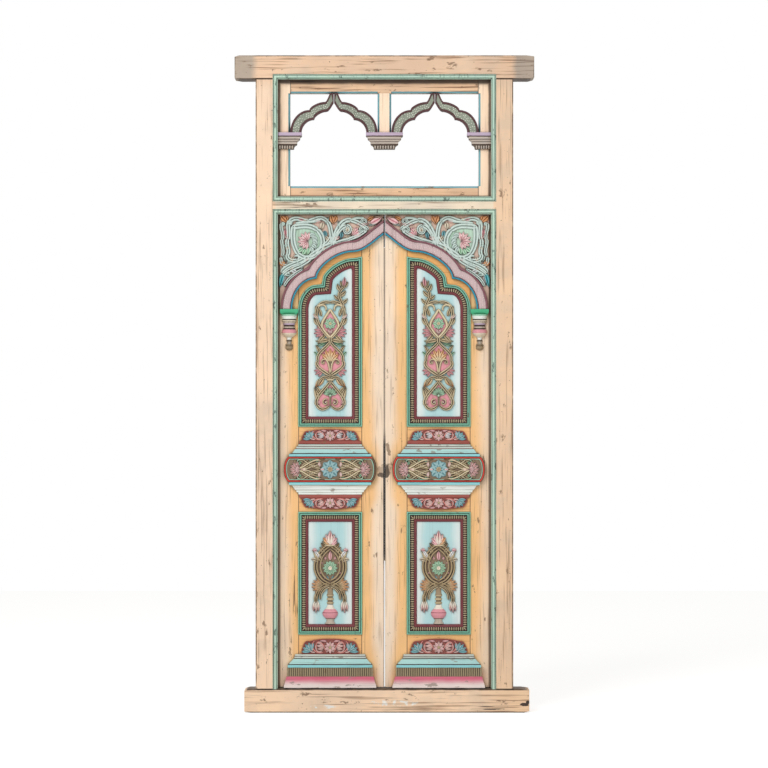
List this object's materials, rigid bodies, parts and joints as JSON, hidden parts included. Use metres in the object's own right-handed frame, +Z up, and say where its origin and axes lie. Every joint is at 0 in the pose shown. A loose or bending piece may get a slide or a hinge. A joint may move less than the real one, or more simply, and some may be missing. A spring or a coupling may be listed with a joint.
{
  "type": "carved temple door",
  "caption": "Carved and painted double-leaf wooden door in its own frame, with an arched open light above; the leaves swing inwards on wooden pintles.",
  "frame": {"origin": "under the middle of the frame, on the underside of the sill", "axes": "+Z up, -Y towards the visitor, +Y into the building, +X to the visitor's right"},
  "size_m": [1.112, 0.12, 2.44],
  "materials": {
    "frame_paint": "worn beige paint on carved hardwood",
    "bead_paint": "worn mint paint",
    "sash_paint": "worn peach paint with blue edges",
    "light_arch_paint": "pale mint paint with maroon edges",
    "capital_paint": "worn lavender paint",
    "leaf_paint": "worn ochre paint",
    "panel_paint": "pale ice-blue paint",
    "spandrel_paint": "pale blue-green paint over carving",
    "band_paint": "mauve paint, stippled",
    "pendant_paint": "pink and green paint",
    "moulding_paint": "green, brown and maroon paint",
    "carving_paint": "brown-gold, pink and green paint",
    "cartouche_paint": "blue, red and pink paint",
    "crest_paint": "red-brown paint over carving",
    "base_paint": "pink, blue and brown paint"
  },
  "bodies": {
    "frame": {"lintel": "frame_paint", "sill": "frame_paint", "left_jamb": "frame_paint", "right_jamb": "frame_paint", "transom_rail": "frame_paint", "light_bead_top": "bead_paint", "light_bead_bottom": "bead_paint", "light_bead_left": "bead_paint", "light_bead_right": "bead_paint", "door_bead_top": "bead_paint", "door_bead_left": "bead_paint", "door_bead_right": "bead_paint", "sash_top_rail": "sash_paint", "sash_bottom_rail": "sash_paint", "sash_left_stile": "sash_paint", "sash_right_stile": "sash_paint", "sash_mullion": "sash_paint", "left_light_arch": "light_arch_paint", "right_light_arch": "light_arch_paint", "left_capital": "capital_paint", "centre_capital": "capital_paint", "right_capital": "capital_paint"},
    "left_leaf": {"left_hinge_stile": "leaf_paint", "left_meeting_stile": "leaf_paint", "left_top_rail": "leaf_paint", "left_lock_rail": "leaf_paint", "left_bottom_rail": "leaf_paint", "left_upper_panel": "panel_paint", "left_lower_panel": "panel_paint", "left_spandrel": "spandrel_paint", "left_arch_band": "band_paint", "left_pendant": "pendant_paint", "left_upper_moulding": "moulding_paint", "left_lower_moulding": "moulding_paint", "left_upper_carving": "carving_paint", "left_lower_carving": "carving_paint", "left_cartouche": "cartouche_paint", "left_upper_crest": "crest_paint", "left_lower_crest": "crest_paint", "left_base_plinth": "base_paint", "left_base_crest": "crest_paint"},
    "right_leaf": {"right_hinge_stile": "leaf_paint", "right_meeting_stile": "leaf_paint", "right_top_rail": "leaf_paint", "right_lock_rail": "leaf_paint", "right_bottom_rail": "leaf_paint", "right_upper_panel": "panel_paint", "right_lower_panel": "panel_paint", "right_spandrel": "spandrel_paint", "right_arch_band": "band_paint", "right_pendant": "pendant_paint", "right_upper_moulding": "moulding_paint", "right_lower_moulding": "moulding_paint", "right_upper_carving": "carving_paint", "right_lower_carving": "carving_paint", "right_cartouche": "cartouche_paint", "right_upper_crest": "crest_paint", "right_lower_crest": "crest_paint", "right_base_plinth": "base_paint", "right_base_crest": "crest_paint"}
  },
  "joints": [
    {"name": "left_leaf_swing", "type": "hinge", "parent": "frame", "child": "left_leaf", "pos_m": [-0.3905, 0.006, 0.087], "axis": [0, 0, 1], "range_deg": [0, 90]},
    {"name": "right_leaf_swing", "type": "hinge", "parent": "frame", "child": "right_leaf", "pos_m": [0.3905, 0.006, 0.087], "axis": [0, 0, -1], "range_deg": [0, 90]}
  ]
}
